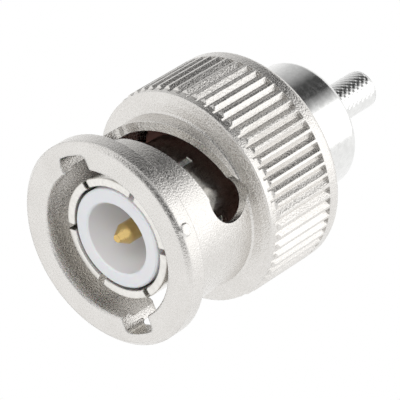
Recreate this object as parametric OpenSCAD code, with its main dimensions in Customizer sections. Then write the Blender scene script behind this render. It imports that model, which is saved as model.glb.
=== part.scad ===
// BNC cable plug, straight, crimp kind, for a thin coaxial cable.
// The plug stands on its mating face at Z = 0, and its cable end points up.
// Millimetres. Each fit uses the same value on both pieces and a named clearance.

/* [Coupling nut] */
// Length of the nut from its mating face to its rear face
nut_len = 13.7; // [13.4:0.1:15.5]
// Diameter of the bore that the jack's barrel enters
nut_bore_d = 9.9; // [9.7:0.05:10.1]
// Diameter of the bore behind the mouth
nut_relief_d = 10.35; // [10.3:0.05:10.5]
// Depth of the mouth, before the bore widens
mouth_len = 0.8; // [0.6:0.05:0.85]
// Diameter of the front flange
flange_d = 13.6; // [13.2:0.1:14.2]
// Length of the front flange
flange_len = 1.4; // [1:0.1:2]
// Diameter of the slotted barrel
barrel_d = 11.6; // [11.4:0.1:11.8]
// Distance from the mating face to the crease between barrel and shoulder
crease_z = 6.95; // [6.8:0.05:7.3]
// Length of the flared shoulder, from the crease to the edge of the smooth rim
shoulder_len = 0.35; // [0.3:0.05:0.6]
// Diameter of the grip over its flutes
grip_d = 14.4; // [14:0.1:15.2]
// Step down from the flutes' crests to the smooth rim in front of them
rim_step = 0.15; // [0.05:0.01:0.2]
// Length of that smooth rim
rim_len = 0.55; // [0.4:0.05:0.8]
// Bevel at the flutes' front ends, along the axis
rim_bevel = 0.12; // [0.05:0.01:0.2]
// Radius of the rounded rear edge of the grip
rear_round = 0.4; // [0.2:0.05:0.6]
// Thickness of the rear lip that holds the nut on the body
lip_t = 1; // [0.8:0.1:1.4]
// Diameter of the spring chamber
chamber_d = 11.8; // [11.7:0.05:12.2]

/* [Flutes] */
// Number of flutes round the grip
flute_count = 60; // [40:1:64]
// Width of a flute at the surface
flute_w = 0.6; // [0.4:0.02:0.66]
// Depth of a flute
flute_depth = 0.24; // [0.18:0.01:0.3]
// Angle of the first flute about the axis
flute_angle = 1.3; // [0:0.1:6]
// Length of the plain rim behind the flutes
plain_rim = 1; // [0.6:0.1:1.5]

/* [Bayonet slots] */
// Width of the keyways and of the slots' entry
key_w = 2.45; // [2.3:0.05:2.6]
// Diameter across the two keyways
key_span = 11.9; // [11.7:0.05:12.2]
// Angle of the first keyway about the axis
key_angle = 16; // [0:1:90]
// Distance from the mating face to the middle of a slot's entry
slot_entry_z = 4.2; // [3.9:0.1:4.4]
// Width of the helical slots
slot_w = 2.6; // [2.3:0.05:2.7]
// Turn from the keyway to the detent
slot_turn = 88.5; // [75:0.5:100]
// Rise of the slot from its entry to the detent
slot_rise = 1.3; // [1:0.05:1.4]
// Radius of the barrel's corner where the slot leaves the keyway
entry_round = 0.5; // [0.2:0.05:0.8]
// Radius of a keyway's outer corners in the flange
key_corner = 0.5; // [0.2:0.05:0.8]
// Diameter of the round detent that the jack's stud drops into
detent_d = 3; // [2.7:0.05:3.1]
// Diameter of the index dot on the flange
dot_d = 0.9; // [0.6:0.05:1.1]

/* [Outer contact] */
// Outside diameter of the slotted sleeve
contact_d = 8.16; // [8.1:0.02:8.24]
// Wall of the springy fingers
finger_wall = 0.6; // [0.5:0.01:0.65]
// Depth of the sleeve's front end below the nut's mating face
contact_recess = 0.94; // [0.9:0.02:1.4]
// Number of slits
slit_count = 6; // [4:1:8]
// Width of a slit
slit_w = 0.4; // [0.3:0.05:0.6]
// Length of a slit
slit_len = 5.2; // [4:0.1:5.4]
// Angle of the first slit about the axis
slit_angle = 4; // [0:1:45]
// Length of the spigot pressed into the front body
spigot_len = 1.9; // [1.5:0.1:2.4]

/* [Insulators] */
// Gap between the fingers and the front insulator
finger_gap = 0.17; // [0.12:0.01:0.25]
// Depth of the front insulator's end below the nut's mating face
ins_recess = 0.95; // [0.9:0.05:1.4]
// Bore that the jack's nose enters
ins_bore_d = 4.72; // [4.6:0.02:4.9]
// Depth of that bore
ins_bore_len = 5.6; // [5:0.1:6]
// Length of the front insulator
front_ins_len = 7.6; // [7.2:0.1:8]
// Step from the front insulator down to the rear insulator
ins_step = 0.41; // [0.3:0.01:0.5]

/* [Centre contact] */
// Diameter of the pin
pin_d = 1.35; // [1.32:0.01:1.38]
// Depth of the pin's tip below the nut's mating face
pin_recess = 1; // [0.8:0.05:1.4]
// Length of the conical nose
nose_len = 0.75; // [0.5:0.05:1]
// Diameter of the flat at the pin's tip
tip_d = 0.5; // [0.3:0.05:0.7]
// Diameter of the contact's shank inside the front insulator
shank_d = 1.7; // [1.5:0.05:1.9]
// Length of pin left in front of the shank's seat
shank_gap = 0.1; // [0.05:0.05:0.3]
// Diameter of the collar held between the insulators
collar_d = 2.3; // [2:0.1:2.6]
// Length of the collar
collar_len = 0.6; // [0.4:0.1:0.8]
// Diameter of the contact behind the collar
tail_d = 1.8; // [1.6:0.05:1.9]
// Length of the contact behind the collar
tail_len = 6.2; // [5.5:0.1:6.6]
// Diameter of the hole for the cable's inner wire
wire_d = 0.6; // [0.5:0.05:0.8]
// Depth of that hole
wire_depth = 3; // [2:0.5:4]

/* [Body] */
// Radial gap between the spring chamber and the flange that carries the gasket
seat_gap = 0.15; // [0.1:0.01:0.25]
// Thickness of that flange
seat_t = 0.6; // [0.5:0.05:0.7]
// Diameter of the tube that the nut turns on
journal_d = 7.6; // [7.5:0.05:7.8]
// Wall of that tube over the outer contact's spigot
journal_wall = 0.39; // [0.35:0.01:0.5]
// Length of that tube inside the rear body
joint_len = 2; // [1.6:0.1:2.4]
// Wall of the rear body over that tube
body_wall = 0.49; // [0.4:0.01:0.7]
// Length of the rear body's cylinder
body_len = 5.3; // [5:0.1:6.5]
// Radius of the rear body's rounded edge
body_round = 0.45; // [0.2:0.05:0.7]
// Diameter of the chamber behind the rear insulator
rear_chamber_d = 4.4; // [4:0.1:5]
// Thickness of the rear body's end wall
end_wall = 1; // [0.8:0.1:1.4]
// Diameter of the crimp stem
stem_d = 2.48; // [2.4:0.02:2.7]
// Length of the crimp stem
stem_len = 5.8; // [5:0.1:7]
// Bore of the crimp stem, for the cable's inner insulation
stem_bore_d = 1.65; // [1.55:0.05:1.75]

/* [Seal and spring] */
// Step from the flange's edge in to the gasket's edge
gasket_inset = 0.15; // [0.05:0.05:0.3]
// Thickness of the gasket
gasket_t = 0.8; // [0.6:0.05:1]
// Diameter of the gasket's seat on the outer contact
gasket_seat_d = 8.6; // [8.5:0.05:8.8]
// Thickness of the thrust washer
thrust_t = 0.3; // [0.2:0.05:0.4]
// Free height of one wave washer
wave_h = 0.55; // [0.5:0.05:0.6]
// Thickness of the wave washers' metal
wave_t = 0.16; // [0.12:0.02:0.18]
// Number of waves round a washer
wave_count = 3; // [3:1:4]

/* [Clearances] */
// Radial running clearance of the nut on the body
run_gap = 0.06; // [0.03:0.01:0.08]
// Gap between faces that only rest on each other
face_gap = 0.02; // [0.01:0.005:0.04]
// Radial gap of the pressed fits
press_gap = 0.01; // [0.005:0.005:0.02]
// Radial clearance of the washers in the spring chamber
washer_gap = 0.1; // [0.05:0.05:0.2]

/* [Hidden] */
$fn = 96;
eps = 0.01;

// Radii used by more than one piece
journal_r = journal_d / 2;
body_r = journal_r + press_gap + body_wall;
spigot_r = journal_r - journal_wall - press_gap;
chamber_r = chamber_d / 2;
seat_r = chamber_r - seat_gap;
finger_bore_r = contact_d / 2 - finger_wall;
front_ins_r = finger_bore_r - finger_gap;
ins_seat_r = front_ins_r + press_gap;
rear_ins_r = front_ins_r - ins_step;
shank_r = shank_d / 2;
collar_r = collar_d / 2;
tail_r = tail_d / 2;
rim_r = grip_d / 2 - rim_step;

// Faces along the axis, from the nut's rear lip forward and back
lip_z = nut_len - lip_t;
rim_z = crease_z + shoulder_len;
thrust_z = lip_z - face_gap - thrust_t;
rear_wave_z = thrust_z - face_gap - wave_h;
front_wave_z = rear_wave_z - face_gap - wave_h;
seat_rear_z = front_wave_z - face_gap;
seat_front_z = seat_rear_z - seat_t;
gasket_z = seat_front_z - face_gap - gasket_t;
spigot_end_z = seat_front_z + spigot_len;
front_ins_end_z = ins_recess + front_ins_len;
rear_body_z = nut_len + face_gap;
joint_end_z = rear_body_z + joint_len;
tail_end_z = front_ins_end_z + collar_len + tail_len;
body_end_z = rear_body_z + body_len;
stem_end_z = body_end_z + stem_len;

// Colours of the finishes
nickel = [0.80, 0.79, 0.77];
bright_nickel = [0.86, 0.86, 0.86];
ptfe = [0.93, 0.94, 0.98];
gold = [0.85, 0.68, 0.30];
silicone = [0.36, 0.20, 0.17];
spring_steel = [0.62, 0.63, 0.65];

// Points of a round edge, from angle a0 to a1
function arc(c, r, a0, a1, steps = 6) =
    [for (i = [0:steps]) let (a = a0 + (a1 - a0) * i / steps) c + r * [cos(a), sin(a)]];

// A ring from z0 to z1
module ring(r_in, r_out, z0, z1) {
    translate([0, 0, z0])
        difference() {
            cylinder(r = r_out, h = z1 - z0);
            translate([0, 0, -eps])
                cylinder(r = r_in, h = z1 - z0 + 2 * eps);
        }
}

// A round hole along the axis from z0 to z1
module hole(r, z0, z1) {
    translate([0, 0, z0])
        cylinder(r = r, h = z1 - z0);
}

// ---- Coupling nut ----

// Height of the slot's middle line at a turn from the keyway
function slot_z(turn) = slot_entry_z + slot_rise * turn / slot_turn;

// The nut's section, before slots and flutes are cut
module nut_section() {
    fillet = 0.25;
    edge = 0.12;
    polygon(concat(
        [[nut_bore_d / 2 + edge, 0],
         [flange_d / 2 - 0.28, 0],
         [flange_d / 2, 0.28],
         [flange_d / 2, flange_len - edge],
         [flange_d / 2 - edge, flange_len]],
        arc([barrel_d / 2 + fillet, flange_len + fillet], fillet, 270, 180, 3),
        [[barrel_d / 2, crease_z - 0.1],
         [barrel_d / 2 + 0.1, crease_z],
         [(barrel_d / 2 + rim_r) / 2, crease_z + shoulder_len * 0.35],
         [rim_r - edge, rim_z - edge / 2],
         [rim_r, rim_z],
         [rim_r, rim_z + rim_len],
         [grip_d / 2, rim_z + rim_len + rim_bevel]],
        arc([grip_d / 2 - rear_round, nut_len - rear_round], rear_round, 0, 90),
        [[journal_r + run_gap + edge, nut_len],
         [journal_r + run_gap, nut_len - edge],
         [journal_r + run_gap, lip_z],
         [chamber_r, lip_z],
         [chamber_r, rim_z + rim_len + 0.4],
         [nut_relief_d / 2, rim_z + 0.15],
         [nut_relief_d / 2, mouth_len + 0.1],
         [nut_bore_d / 2, mouth_len],
         [nut_bore_d / 2, edge]]
    ));
}

// One helical slot, cut through the barrel from the keyway to the detent.
// Each step of the sweep is a section of four corners: inner and outer, front and rear.
module helical_slot() {
    steps = 16;
    r_in = nut_bore_d / 2 - 0.6;
    r_out = barrel_d / 2 + 0.9;
    corners = [[r_in, -slot_w / 2], [r_out, -slot_w / 2], [r_out, slot_w / 2], [r_in, slot_w / 2]];
    points = [for (i = [0:steps]) let (turn = slot_turn * i / steps)
              for (c = corners) [c[0] * cos(turn), c[0] * sin(turn), slot_z(turn) + c[1]]];
    sides = [for (i = [0:steps - 1]) for (k = [0:3]) let (a = 4 * i + k, b = 4 * i + (k + 1) % 4)
             for (f = [[a, b, a + 4], [b, b + 4, a + 4]]) f];
    ends = [[3, 2, 1, 0], [for (k = [0:3]) 4 * steps + k]];
    polyhedron(points, concat(ends, sides));
}

// A round hole through the barrel's wall at a turn from the keyway
module wall_hole(turn, z, d) {
    rotate([0, 0, turn])
        translate([nut_bore_d / 2 - 0.6, 0, z])
            rotate([0, 90, 0])
                cylinder(d = d, h = barrel_d / 2 - nut_bore_d / 2 + 1.5);
}

// The straight way in for a stud, from the mating face to the slot, as seen along the radius.
// Its rear corners are rounded, and so is the barrel's corner where the slot leaves it.
module keyway_outline() {
    corner = 0.8;
    rear = slot_z(0) + slot_w / 2 + 0.05;
    turn_off = [key_w / 2 + entry_round, slot_z(0) - slot_w / 2 + 0.22];
    polygon(concat(
        [[-key_w / 2, -1], [key_w / 2, -1]],
        arc(turn_off - [0, entry_round], entry_round, 180, 90, 5),
        [turn_off + [0, 0.4], [key_w / 2, turn_off[1] + 0.4]],
        arc([key_w / 2 - corner, rear - corner], corner, 0, 90, 5),
        arc([corner - key_w / 2, rear - corner], corner, 90, 180, 5)
    ));
}

// The keyway's part in the flange, whose outer corners are rounded as seen along the axis
module keyway_mouth() {
    half = key_w / 2;
    r_in = nut_bore_d / 2 - 1;
    r_out = key_span / 2;
    translate([0, 0, -1])
        linear_extrude(height = flange_len + 1.5)
            polygon(concat(
                [[r_in, half], [r_in, -half]],
                arc([r_out - key_corner, key_corner - half], key_corner, 270, 360, 4),
                arc([r_out - key_corner, half - key_corner], key_corner, 0, 90, 4)
            ));
}

// The keyway's part in the barrel, down to the slot
module keyway_tail() {
    translate([nut_bore_d / 2 - 1, 0, 0])
        rotate([90, 0, 90])
            linear_extrude(height = 4)
                keyway_outline();
}

// The way of one stud: keyway, helical slot and detent
module bayonet_way() {
    intersection() {
        hole(key_span / 2, -2, flange_len + 0.4);
        keyway_mouth();
    }
    intersection() {
        hole(key_span / 2, flange_len + 0.25, slot_entry_z + slot_w);
        keyway_tail();
    }
    helical_slot();
    wall_hole(slot_turn, slot_z(slot_turn), detent_d);
}

// One V-shaped flute of the grip, open at the smooth rim and closed at the plain rear rim
module flute() {
    front = rim_z + rim_len / 2;
    translate([grip_d / 2, 0, front])
        linear_extrude(height = nut_len - plain_rim - front)
            polygon([[flute_depth, flute_w], [-flute_depth, 0], [flute_depth, -flute_w]]);
}

// A plain dot on the flange that marks the detents' place
module index_dot() {
    rotate([0, 0, key_angle + slot_turn + 180])
        translate([flange_d / 2 - 0.3, 0, flange_len * 0.45])
            rotate([0, 90, 0])
                cylinder(d1 = dot_d + 0.3, d2 = dot_d - 0.2, h = 0.4);
}

module coupling_nut() {
    color(nickel)
        difference() {
            union() {
                rotate_extrude()
                    nut_section();
                index_dot();
            }
            for (side = [0, 180])
                rotate([0, 0, key_angle + side])
                    bayonet_way();
            for (i = [0:flute_count - 1])
                rotate([0, 0, flute_angle + 360 * i / flute_count])
                    flute();
        }
}

// ---- Body ----

// Flanged tube that carries the outer contact and the gasket, and on which the nut turns
module front_body() {
    color(bright_nickel)
        difference() {
            union() {
                hole(seat_r, seat_front_z, seat_rear_z);
                hole(journal_r, seat_rear_z - eps, joint_end_z - face_gap);
            }
            hole(spigot_r + press_gap, seat_front_z - 1, spigot_end_z);
            hole(rear_ins_r + press_gap, seat_front_z - 1, joint_end_z + 1);
        }
}

// The rear body's section, with the crimp stem turned on its end
module rear_body_section() {
    chamfer = 0.12;
    polygon(concat(
        [[journal_r + press_gap, rear_body_z],
         [body_r - chamfer, rear_body_z],
         [body_r, rear_body_z + chamfer]],
        arc([body_r - body_round, body_end_z - body_round], body_round, 0, 90, 8),
        arc([stem_d / 2 + 0.2, body_end_z + 0.2], 0.2, 270, 180, 4),
        [[stem_d / 2, stem_end_z - chamfer],
         [stem_d / 2 - chamfer, stem_end_z],
         [stem_bore_d / 2, stem_end_z],
         [stem_bore_d / 2, body_end_z - end_wall],
         [rear_chamber_d / 2, body_end_z - end_wall],
         [rear_chamber_d / 2, joint_end_z],
         [journal_r + press_gap, joint_end_z]]
    ));
}

module rear_body() {
    color(bright_nickel)
        rotate_extrude()
            rear_body_section();
}

// ---- Outer contact ----

// The slotted sleeve's section: rounded tip, thin fingers, gasket seat and pressed spigot
module outer_contact_section() {
    r = contact_d / 2;
    tip = finger_wall / 4;
    root_z = contact_recess + slit_len + 0.5;
    polygon(concat(
        [[finger_bore_r, contact_recess + tip]],
        arc([finger_bore_r + tip, contact_recess + tip], tip, 180, 270, 4),
        arc([r - tip, contact_recess + tip], tip, 270, 360, 4),
        [[r, gasket_z],
         [gasket_seat_d / 2, gasket_z],
         [gasket_seat_d / 2, seat_front_z - face_gap],
         [spigot_r, seat_front_z - face_gap],
         [spigot_r, spigot_end_z - face_gap],
         [rear_ins_r + press_gap, spigot_end_z - face_gap],
         [rear_ins_r + press_gap, front_ins_end_z],
         [ins_seat_r, front_ins_end_z],
         [ins_seat_r, root_z + 0.1],
         [finger_bore_r, root_z]]
    ));
}

module outer_contact() {
    color(bright_nickel)
        difference() {
            rotate_extrude()
                outer_contact_section();
            for (i = [0:slit_count - 1])
                rotate([0, 0, slit_angle + 360 * i / slit_count])
                    translate([contact_d / 2 - 2, -slit_w / 2, contact_recess - 1])
                        cube([3, slit_w, slit_len + 1]);
        }
}

// ---- Insulators ----

module front_insulator() {
    edge = 0.1;
    color(ptfe)
        rotate_extrude()
            polygon([[ins_bore_d / 2 + edge, ins_recess],
                     [front_ins_r - edge, ins_recess],
                     [front_ins_r, ins_recess + edge],
                     [front_ins_r, front_ins_end_z - face_gap],
                     [shank_r + press_gap, front_ins_end_z - face_gap],
                     [shank_r + press_gap, ins_recess + ins_bore_len],
                     [ins_bore_d / 2, ins_recess + ins_bore_len],
                     [ins_bore_d / 2, ins_recess + edge]]);
}

module rear_insulator() {
    color(ptfe)
        difference() {
            hole(rear_ins_r, front_ins_end_z, joint_end_z - face_gap);
            hole(collar_r + press_gap, front_ins_end_z - 1, front_ins_end_z + collar_len + face_gap);
            hole(tail_r + press_gap, front_ins_end_z - 1, joint_end_z + 1);
        }
}

// ---- Centre contact ----

module centre_contact() {
    color(gold)
        rotate_extrude()
            polygon([[0, pin_recess],
                     [tip_d / 2, pin_recess],
                     [pin_d / 2, pin_recess + nose_len],
                     [pin_d / 2, ins_recess + ins_bore_len - shank_gap],
                     [shank_r, ins_recess + ins_bore_len - shank_gap],
                     [shank_r, front_ins_end_z],
                     [collar_r, front_ins_end_z],
                     [collar_r, front_ins_end_z + collar_len],
                     [tail_r, front_ins_end_z + collar_len],
                     [tail_r, tail_end_z],
                     [wire_d / 2, tail_end_z],
                     [wire_d / 2, tail_end_z - wire_depth],
                     [0, tail_end_z - wire_depth - wire_d / 3]]);
}

// ---- Seal and spring ----

module gasket() {
    edge = 0.15;
    r = seat_r - gasket_inset;
    bore_r = gasket_seat_d / 2 + face_gap;
    color(silicone)
        rotate_extrude()
            polygon(concat(
                [[bore_r, gasket_z],
                 [r - edge, gasket_z]],
                arc([r - edge, gasket_z + edge], edge, 270, 360, 4),
                [[r, seat_front_z - face_gap],
                 [bore_r, seat_front_z - face_gap]]
            ));
}

// A ring of thin spring metal that rises and falls round the axis.
// phase is 0 or 1: with 1 its crests stand where the other washer's hollows are.
module wave_washer(z, phase) {
    steps = 48;
    r_in = journal_r + 3 * washer_gap;
    r_out = chamber_r - 2 * washer_gap;
    lift = (wave_h - wave_t) / 2;
    points = [for (i = [0:steps - 1])
              let (a = 360 * i / steps, rise = lift * (1 + cos(wave_count * a + 180 * phase)))
              for (c = [[r_in, 0], [r_out, 0], [r_out, wave_t], [r_in, wave_t]])
              [c[0] * cos(a), c[0] * sin(a), z + rise + c[1]]];
    faces = [for (i = [0:steps - 1]) for (k = [0:3])
             let (a = 4 * i + k, b = 4 * i + (k + 1) % 4, n = 4 * steps)
             for (f = [[a, b, (a + 4) % n], [b, (b + 4) % n, (a + 4) % n]]) f];
    color(spring_steel)
        polyhedron(points, faces);
}

module wave_washer_front() {
    wave_washer(front_wave_z, 0);
}

module wave_washer_rear() {
    wave_washer(rear_wave_z, 1);
}

module thrust_washer() {
    color(spring_steel)
        ring(journal_r + run_gap, chamber_r - washer_gap, thrust_z, thrust_z + thrust_t);
}

coupling_nut();
front_body();
rear_body();
outer_contact();
front_insulator();
rear_insulator();
centre_contact();
gasket();
wave_washer_front();
wave_washer_rear();
thrust_washer();
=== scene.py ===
import math

import bpy
import bmesh
from mathutils import Matrix, Vector


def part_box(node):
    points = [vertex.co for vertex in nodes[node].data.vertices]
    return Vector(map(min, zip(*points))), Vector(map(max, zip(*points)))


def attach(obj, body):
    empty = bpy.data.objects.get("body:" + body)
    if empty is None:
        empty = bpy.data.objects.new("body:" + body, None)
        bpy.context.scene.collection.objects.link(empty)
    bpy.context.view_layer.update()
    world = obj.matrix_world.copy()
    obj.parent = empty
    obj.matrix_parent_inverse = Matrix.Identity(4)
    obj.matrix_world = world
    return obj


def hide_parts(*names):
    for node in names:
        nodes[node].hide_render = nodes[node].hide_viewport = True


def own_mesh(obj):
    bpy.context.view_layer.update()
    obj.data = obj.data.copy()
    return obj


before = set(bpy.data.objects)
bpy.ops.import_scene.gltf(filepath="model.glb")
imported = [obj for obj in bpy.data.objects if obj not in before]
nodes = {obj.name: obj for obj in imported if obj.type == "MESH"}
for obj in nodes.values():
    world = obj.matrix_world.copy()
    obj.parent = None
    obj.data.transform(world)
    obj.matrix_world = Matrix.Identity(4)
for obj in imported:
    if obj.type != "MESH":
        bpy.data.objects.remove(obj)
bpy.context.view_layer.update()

MM = 0.001


# ---------------------------------------------------------------- node tools

class Tree:
    """A short way to add and join the nodes of one material or group."""

    def __init__(self, tree):
        self.tree = tree

    def add(self, kind, **values):
        node = self.tree.nodes.new(kind)
        for name, value in values.items():
            setattr(node, name, value)
        return node

    def join(self, start, end):
        self.tree.links.new(start, end)

    def noise(self, place, scale, detail=2.0, roughness=0.5):
        node = self.add("ShaderNodeTexNoise")
        node.inputs["Scale"].default_value = scale
        node.inputs["Detail"].default_value = detail
        node.inputs["Roughness"].default_value = roughness
        self.join(place, node.inputs["Vector"])
        return node.outputs["Fac"]

    def spread(self, value, low, high, new_low=0.0, new_high=1.0):
        """Maps low..high to new_low..new_high, and stops at both ends."""
        node = self.add("ShaderNodeMapRange", clamp=True)
        self.join(value, node.inputs["Value"])
        for name, number in (("From Min", low), ("From Max", high),
                             ("To Min", new_low), ("To Max", new_high)):
            if isinstance(number, (int, float)):
                node.inputs[name].default_value = number
            else:
                self.join(number, node.inputs[name])
        return node.outputs["Result"]

    def sums(self, operation, a, b):
        node = self.add("ShaderNodeMath", operation=operation)
        for socket, value in zip(node.inputs, (a, b)):
            if isinstance(value, (int, float)):
                socket.default_value = value
            else:
                self.join(value, socket)
        return node.outputs[0]

    def blend(self, share, a, b):
        node = self.add("ShaderNodeMix", data_type="RGBA")
        sockets = [s for s in node.inputs if s.type == "RGBA"]
        self.join(share, node.inputs["Factor"])
        for socket, value in zip(sockets, (a, b)):
            if isinstance(value, tuple):
                socket.default_value = (*value, 1.0)
            else:
                self.join(value, socket)
        return [s for s in node.outputs if s.type == "RGBA"][0]


def new_group(name, inputs, outputs):
    """An empty shader group with named sockets: (name, kind, value) in, (name, kind) out."""
    group = bpy.data.node_groups.new(name, "ShaderNodeTree")
    for label, kind, value in inputs:
        socket = group.interface.new_socket(label, in_out="INPUT", socket_type=kind)
        if value is not None:
            socket.default_value = value
    for label, kind in outputs:
        group.interface.new_socket(label, in_out="OUTPUT", socket_type=kind)
    tree = Tree(group)
    start = tree.add("NodeGroupInput")
    end = tree.add("NodeGroupOutput")
    return tree, start.outputs, end.inputs


FLOAT = "NodeSocketFloat"
COLOUR = "NodeSocketColor"
VECTOR = "NodeSocketVector"


def make_blasted_grain():
    """Sparkle of a blasted, plated casting: a fine height, and specks lighter and darker."""
    tree, given, out = new_group(
        "blasted_grain",
        [("Plate Colour", COLOUR, (0.8, 0.8, 0.8, 1)), ("Shade Colour", COLOUR, (0.5, 0.5, 0.5, 1)),
         ("Grain Scale", FLOAT, 9000.0), ("Roughness Low", FLOAT, 0.3), ("Roughness High", FLOAT, 0.5)],
        [("Colour", COLOUR), ("Roughness", FLOAT), ("Height", FLOAT)])
    place = tree.add("ShaderNodeTexCoord").outputs["Object"]
    fine = tree.add("ShaderNodeTexNoise")
    fine.inputs["Detail"].default_value = 3.0
    tree.join(place, fine.inputs["Vector"])
    tree.join(given["Grain Scale"], fine.inputs["Scale"])
    patches = tree.spread(tree.noise(place, 420.0, 4.0), 0.35, 0.7)
    specks = tree.spread(fine.outputs["Fac"], 0.35, 0.65)
    share = tree.sums("ADD", tree.sums("MULTIPLY", tree.sums("SUBTRACT", 1.0, specks), 0.6),
                      tree.sums("MULTIPLY", patches, 0.3))
    tree.join(tree.blend(share, given["Plate Colour"], given["Shade Colour"]), out["Colour"])
    roughness = tree.spread(specks, 0.0, 1.0, given["Roughness Low"], given["Roughness High"])
    tree.join(roughness, out["Roughness"])
    tree.join(specks, out["Height"])
    return tree.tree


def make_soft_edges():
    """Rounds the corners that the light catches, and marks the edges, where the plate colour is made
    lighter.
    """
    tree, given, out = new_group(
        "soft_edges", [("Radius", FLOAT, 0.0001)], [("Normal", VECTOR), ("Edge", FLOAT)])
    bevel = tree.add("ShaderNodeBevel", samples=6)
    tree.join(given["Radius"], bevel.inputs["Radius"])
    facing = tree.add("ShaderNodeVectorMath", operation="DOT_PRODUCT")
    tree.join(bevel.outputs["Normal"], facing.inputs[0])
    tree.join(tree.add("ShaderNodeNewGeometry").outputs["Normal"], facing.inputs[1])
    tree.join(bevel.outputs["Normal"], out["Normal"])
    tree.join(tree.spread(facing.outputs["Value"], 0.75, 0.98, 1.0, 0.0), out["Edge"])
    return tree.tree


BLASTED_GRAIN = make_blasted_grain()
SOFT_EDGES = make_soft_edges()


def new_material(name):
    material = bpy.data.materials.new(name)
    material.use_nodes = True
    tree = Tree(material.node_tree)
    return material, tree, material.node_tree.nodes["Principled BSDF"]


def use_group(tree, group, **values):
    node = tree.add("ShaderNodeGroup", node_tree=group)
    for label, value in values.items():
        socket = node.inputs[label.replace("_", " ")]
        socket.default_value = (*value, 1.0) if isinstance(value, tuple) else value
    return node


def bumped(tree, shader, height, depth_mm, strength=1.0, normal=None):
    bump = tree.add("ShaderNodeBump")
    bump.inputs["Strength"].default_value = strength
    bump.inputs["Distance"].default_value = depth_mm * MM
    tree.join(height, bump.inputs["Height"])
    if normal is not None:
        tree.join(normal, bump.inputs["Normal"])
    tree.join(bump.outputs["Normal"], shader.inputs["Normal"])


def cast_nickel():
    """Plate on the cast nut: blasted all over, and well rounded at the flange's front edge."""
    material, tree, shader = new_material("cast_nickel")
    grain = use_group(tree, BLASTED_GRAIN,
                      Plate_Colour=(0.83, 0.81, 0.785), Shade_Colour=(0.66, 0.64, 0.61),
                      Grain_Scale=9000.0, Roughness_Low=0.20, Roughness_High=0.32)
    edges = use_group(tree, SOFT_EDGES)
    spot = tree.add("ShaderNodeSeparateXYZ")
    tree.join(tree.add("ShaderNodeTexCoord").outputs["Object"], spot.inputs["Vector"])
    edge_radius = tree.spread(spot.outputs["Z"], 0.4 * MM, 0.6 * MM, 0.24 * MM, 0.06 * MM)
    tree.join(edge_radius, edges.inputs["Radius"])
    shader.inputs["Metallic"].default_value = 1.0
    tree.join(tree.blend(edges.outputs["Edge"], grain.outputs["Colour"], (0.82, 0.81, 0.79)),
              shader.inputs["Base Color"])
    tree.join(grain.outputs["Roughness"], shader.inputs["Roughness"])
    bumped(tree, shader, grain.outputs["Height"], 0.014, 0.8, edges.outputs["Normal"])
    return material


def turned_nickel(name, colour, roughness, edge_radius=0.06 * MM):
    material, tree, shader = new_material(name)
    grain = use_group(tree, BLASTED_GRAIN, Plate_Colour=colour,
                      Shade_Colour=tuple(c * 0.85 for c in colour),
                      Grain_Scale=3000.0, Roughness_Low=roughness, Roughness_High=roughness + 0.08)
    edges = use_group(tree, SOFT_EDGES, Radius=edge_radius)
    shader.inputs["Metallic"].default_value = 1.0
    tree.join(grain.outputs["Colour"], shader.inputs["Base Color"])
    tree.join(grain.outputs["Roughness"], shader.inputs["Roughness"])
    bumped(tree, shader, grain.outputs["Height"], 0.001, 0.3, edges.outputs["Normal"])
    return material


def ptfe():
    material, tree, shader = new_material("ptfe")
    place = tree.add("ShaderNodeTexCoord").outputs["Object"]
    cloud = tree.noise(place, 600.0, 3.0)
    edges = use_group(tree, SOFT_EDGES, Radius=0.08 * MM)
    tree.join(tree.blend(tree.spread(cloud, 0.3, 0.7), (0.92, 0.935, 0.98), (0.95, 0.96, 0.99)),
              shader.inputs["Base Color"])
    tree.join(tree.spread(cloud, 0.3, 0.7, 0.38, 0.5), shader.inputs["Roughness"])
    shader.inputs["Subsurface Weight"].default_value = 0.2
    shader.inputs["Subsurface Scale"].default_value = 0.6 * MM
    bumped(tree, shader, tree.noise(place, 5000.0, 2.0), 0.006, 0.3, edges.outputs["Normal"])
    return material


def gold_plate():
    material, tree, shader = new_material("gold_plate")
    place = tree.add("ShaderNodeTexCoord").outputs["Object"]
    streak = tree.noise(place, 1500.0, 2.0)
    edges = use_group(tree, SOFT_EDGES, Radius=0.05 * MM)
    shader.inputs["Metallic"].default_value = 1.0
    tree.join(tree.blend(tree.spread(streak, 0.3, 0.7), (0.70, 0.49, 0.18), (0.79, 0.58, 0.25)),
              shader.inputs["Base Color"])
    tree.join(tree.spread(streak, 0.3, 0.7, 0.10, 0.16), shader.inputs["Roughness"])
    bumped(tree, shader, streak, 0.002, 0.3, edges.outputs["Normal"])
    return material


def silicone():
    material, tree, shader = new_material("silicone")
    place = tree.add("ShaderNodeTexCoord").outputs["Object"]
    mottle = tree.noise(place, 1500.0, 3.0)
    edges = use_group(tree, SOFT_EDGES, Radius=0.1 * MM)
    tree.join(tree.blend(tree.spread(mottle, 0.3, 0.7), (0.42, 0.21, 0.18), (0.50, 0.26, 0.22)),
              shader.inputs["Base Color"])
    tree.join(tree.spread(mottle, 0.3, 0.7, 0.45, 0.6), shader.inputs["Roughness"])
    bumped(tree, shader, mottle, 0.02, 0.4, edges.outputs["Normal"])
    return material


CAST_NICKEL = cast_nickel()
BODY_NICKEL = turned_nickel("body_nickel", (0.88, 0.88, 0.87), 0.14)
CONTACT_NICKEL = turned_nickel("contact_nickel", (0.90, 0.88, 0.84), 0.16, 0.16 * MM)
SPRING_STEEL = turned_nickel("spring_steel", (0.55, 0.55, 0.56), 0.3)
PTFE = ptfe()
GOLD = gold_plate()
SILICONE = silicone()

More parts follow.
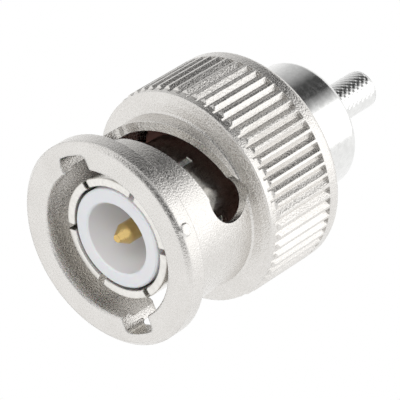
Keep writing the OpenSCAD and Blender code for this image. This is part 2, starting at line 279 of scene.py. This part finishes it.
FINISHES = {
    "coupling_nut": CAST_NICKEL,
    "front_body": BODY_NICKEL,
    "rear_body": BODY_NICKEL,
    "outer_contact": CONTACT_NICKEL,
    "front_insulator": PTFE,
    "rear_insulator": PTFE,
    "centre_contact": GOLD,
    "gasket": SILICONE,
    "wave_washer_front": SPRING_STEEL,
    "wave_washer_rear": SPRING_STEEL,
    "thrust_washer": SPRING_STEEL,
}
for name, material in FINISHES.items():
    for spot in nodes[name].material_slots:
        spot.material = material


# ---------------------------------------------------------------- pieces

def add_piece(name, points, faces, material):
    mesh = bpy.data.meshes.new(name)
    mesh.from_pydata(points, [], faces)
    form = bmesh.new()
    form.from_mesh(mesh)
    bmesh.ops.recalc_face_normals(form, faces=form.faces)
    form.to_mesh(mesh)
    form.free()
    mesh.materials.append(material)
    piece = bpy.data.objects.new(name, mesh)
    bpy.context.collection.objects.link(piece)
    return piece


def sweep_round(name, section, steps, material):
    """A closed ring about the plug's axis: section(angle) gives the (radius, height) points at one angle."""
    points, faces = [], []
    for i in range(steps):
        angle = math.tau * i / steps
        outline = section(angle)
        points += [(r * math.cos(angle), r * math.sin(angle), z) for r, z in outline]
    size = len(outline)
    for i in range(steps):
        for j in range(size):
            k = (j + 1) % size
            after = (i + 1) % steps
            faces.append((i * size + j, after * size + j, after * size + k, i * size + k))
    return add_piece(name, points, faces, material)


def wave_washer(node, phase, waves=3, metal=0.16 * MM, edge=0.03 * MM):
    """A stamped ring of spring strip, waved three times round, with the stamping's softened edges."""
    low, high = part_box(node)
    outer = high[0]
    inner = outer - 1.6 * MM
    lift = (high[2] - low[2] - metal) / 2

    def section(angle):
        rise = low[2] + lift * (1 + math.cos(waves * angle + math.pi * phase))
        return [(inner + edge, rise), (outer - edge, rise), (outer, rise + edge),
                (outer, rise + metal - edge), (outer - edge, rise + metal),
                (inner + edge, rise + metal), (inner, rise + metal - edge), (inner, rise + edge)]

    washer = sweep_round(node + "_spring", section, 120, SPRING_STEEL)
    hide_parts(node)
    return washer


def stem_knurl(starts=18, depth=0.028 * MM):
    """Diamond knurl on the crimp stem: two crossing sets of helical grooves, deepest where they meet."""
    stem_radius = 1.24 * MM
    root = stem_radius + 0.004 * MM
    low = 19.30 * MM
    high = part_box("rear_body")[1][2] - 0.16 * MM
    crest = root + depth
    pitch = math.tau * crest / starts
    rows = 8 * round((high - low) / pitch)
    steps = 8 * starts

    def groove(turns):
        return max(0.0, 1 - abs(turns - round(turns)) / 0.36)

    def surface(angle, z):
        around = starts * angle / math.tau
        along = (z - low) / pitch
        ends = min(1, (z - low) / (0.3 * pitch), (high - z) / (0.3 * pitch))
        a, b = groove(around + along), groove(around - along)
        return root + depth * (1 - 0.5 * (a + b)) * max(0, ends)

    points, faces = [], []
    for j in range(rows + 1):
        z = low + (high - low) * j / rows
        for i in range(steps):
            angle = math.tau * i / steps
            r = surface(angle, z)
            points.append((r * math.cos(angle), r * math.sin(angle), z))
    inside = stem_radius - 0.03 * MM
    for z in (low, high):
        points += [(inside * math.cos(math.tau * i / steps), inside * math.sin(math.tau * i / steps), z)
                   for i in range(steps)]
    rings = list(range(rows + 1))
    order = [rows + 1] + rings + [rows + 2, rows + 1]
    for a, b in zip(order, order[1:]):
        for i in range(steps):
            k = (i + 1) % steps
            faces.append((a * steps + i, a * steps + k, b * steps + k, b * steps + i))
    knurl = add_piece("stem_knurl", points, faces, BODY_NICKEL)
    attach(knurl, "plug_body")
    return knurl


# Each wave washer is swept in place of its part and carried with the piece that it sits on
front_wave = wave_washer("wave_washer_front", 0)
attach(front_wave, "plug_body")
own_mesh(front_wave)
rear_wave = wave_washer("wave_washer_rear", 1)
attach(rear_wave, "spring_seat")
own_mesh(rear_wave)
stem_knurl()


# ---------------------------------------------------------------- stage

def make_world():
    """White to the eye and to gloss, and a plain level for the rest."""
    world = bpy.data.worlds.new("studio")
    world.use_nodes = True
    bpy.context.scene.world = world
    tree = Tree(world.node_tree)
    world.node_tree.nodes.clear()
    path = tree.add("ShaderNodeLightPath")
    seen = tree.sums("MAXIMUM", path.outputs["Is Camera Ray"], path.outputs["Is Transmission Ray"])
    seen = tree.sums("MAXIMUM", seen, path.outputs["Is Glossy Ray"])
    back = tree.add("ShaderNodeBackground")
    back.inputs["Color"].default_value = (1, 1, 1, 1)
    tree.join(tree.spread(seen, 0.0, 1.0, 0.62, 1.0), back.inputs["Strength"])
    tree.join(back.outputs["Background"], tree.add("ShaderNodeOutputWorld").inputs["Surface"])


def aim(thing, place, target):
    thing.location = place
    thing.rotation_euler = (Vector(target) - Vector(place)).to_track_quat("-Z", "Y").to_euler()


def stage_mesh(name, points, faces, material):
    mesh = bpy.data.meshes.new(name)
    mesh.from_pydata(points, [], faces)
    mesh.materials.append(material)
    thing = bpy.data.objects.new(name, mesh)
    bpy.context.collection.objects.link(thing)
    return thing


def pale_floor():
    """A white floor that shows from above and keeps the shadow, and is clear from below."""
    material = bpy.data.materials.new("pale_floor")
    material.use_nodes = True
    tree = Tree(material.node_tree)
    material.node_tree.nodes.clear()
    white = tree.add("ShaderNodeBsdfDiffuse")
    white.inputs["Color"].default_value = (0.93, 0.93, 0.93, 1)
    clear = tree.add("ShaderNodeBsdfTransparent")
    mix = tree.add("ShaderNodeMixShader")
    tree.join(tree.add("ShaderNodeNewGeometry").outputs["Backfacing"], mix.inputs["Fac"])
    tree.join(white.outputs["BSDF"], mix.inputs[1])
    tree.join(clear.outputs["BSDF"], mix.inputs[2])
    tree.join(mix.outputs["Shader"], tree.add("ShaderNodeOutputMaterial").inputs["Surface"])
    half = 0.9
    z = -0.02 * MM
    corners = [(-half, -half, z), (half, -half, z), (half, half, z), (-half, half, z)]
    floor = stage_mesh("floor", corners, [(0, 1, 2, 3)], material)
    floor.visible_diffuse = False
    floor.visible_glossy = False
    floor.visible_transmission = False
    floor.visible_shadow = False


def card(name, ways, falls, fade):
    """A curved card round the plug that only gloss sees, from ways[0] to ways[1] and falls[0] to falls[1].

    Its light follows fade: pairs of a way in degrees and a level.
    """
    material = bpy.data.materials.new(name)
    material.use_nodes = True
    tree = Tree(material.node_tree)
    material.node_tree.nodes.clear()
    spot = tree.add("ShaderNodeSeparateXYZ")
    tree.join(tree.add("ShaderNodeTexCoord").outputs["Object"], spot.inputs["Vector"])
    turn = tree.sums("ARCTAN2", tree.sums("MULTIPLY", spot.outputs["Y"], -1.0),
                     tree.sums("MULTIPLY", spot.outputs["X"], -1.0))
    ramp = tree.add("ShaderNodeValToRGB")
    start, end = fade[0][0], fade[-1][0]
    for i, (way, level) in enumerate(fade):
        place = (way - start) / (end - start)
        stops = ramp.color_ramp.elements
        stop = stops[0] if i == 0 else stops[-1] if i == len(fade) - 1 else stops.new(place)
        stop.position = place
        stop.color = (level, level, level, 1)
    tree.join(tree.spread(turn, math.radians(start - 180), math.radians(end - 180)), ramp.inputs["Fac"])
    glow = tree.add("ShaderNodeEmission")
    tree.join(ramp.outputs["Color"], glow.inputs["Color"])
    tree.join(glow.outputs["Emission"], tree.add("ShaderNodeOutputMaterial").inputs["Surface"])
    points, faces = [], []
    columns, rows = 40, 16
    radius = 0.15
    for i in range(columns + 1):
        for j in range(rows + 1):
            a = math.radians(ways[0] + (ways[1] - ways[0]) * i / columns)
            e = math.radians(falls[0] + (falls[1] - falls[0]) * j / rows)
            out = radius * math.cos(e)
            points.append((out * math.cos(a), out * math.sin(a), radius * math.sin(e)))
    for i in range(columns):
        for j in range(rows):
            a = i * (rows + 1) + j
            faces.append((a, a + rows + 1, a + rows + 2, a + 1))
    thing = stage_mesh(name, points, faces, material)
    thing.visible_camera = False
    thing.visible_diffuse = False
    thing.visible_transmission = False
    thing.visible_shadow = False


make_world()
pale_floor()
card("side_card", (100, 264), (2, 58),
     ((100, 1.0), (130, 1.0), (165, 0.65), (190, 0.42), (210, 0.07), (236, 0.05), (250, 0.4), (264, 1.0)))
card("front_card", (196, 318), (-62, -24), ((196, 0.5), (212, 0.08), (300, 0.08), (318, 0.6)))


def soft_lamp(name, way, distance, size, watts, gloss=False):
    lamp = bpy.data.lights.new(name, "AREA")
    lamp.shape = "DISK"
    lamp.size = size
    lamp.energy = watts
    thing = bpy.data.objects.new(name, lamp)
    bpy.context.collection.objects.link(thing)
    thing.visible_glossy = gloss
    aim(thing, Vector(way).normalized() * distance + Vector((0, 0, 0.01)), (0, 0, 0.01))


soft_lamp("front_lamp", (-0.35, -0.75, -0.75), 0.5, 0.35, 0.75)
soft_lamp("side_lamp", (0.3, -0.75, 0.55), 0.5, 0.6, 0.45, gloss=True)
soft_lamp("top_lamp", (-0.2, 0.3, 1.0), 0.5, 0.3, 0.6)

# Where the camera looks from, seen along the plug's axis and from below its mating face
VIEW_FALL = math.radians(39.6)
VIEW_ROLL = math.radians(58.3)
VIEW_DISTANCE = 0.217
AIM_POINT = Vector((0.00065, 0.0, 0.0082))

lens = bpy.data.cameras.new("camera")
lens.lens = 315.0
lens.sensor_width = 36.0
lens.clip_start = 0.001
camera = bpy.data.objects.new("camera", lens)
bpy.context.collection.objects.link(camera)
view = Vector((0, math.cos(VIEW_FALL), math.sin(VIEW_FALL)))
camera.location = AIM_POINT - VIEW_DISTANCE * view
right = Vector((1, 0, 0))
up = right.cross(view)
rolled_up = up * math.cos(VIEW_ROLL) - right * math.sin(VIEW_ROLL)
rolled_right = view.cross(rolled_up)
turn = Matrix((rolled_right, rolled_up, -view)).transposed()
camera.rotation_euler = turn.to_euler()
bpy.context.scene.camera = camera

bpy.context.scene.view_settings.view_transform = "Standard"
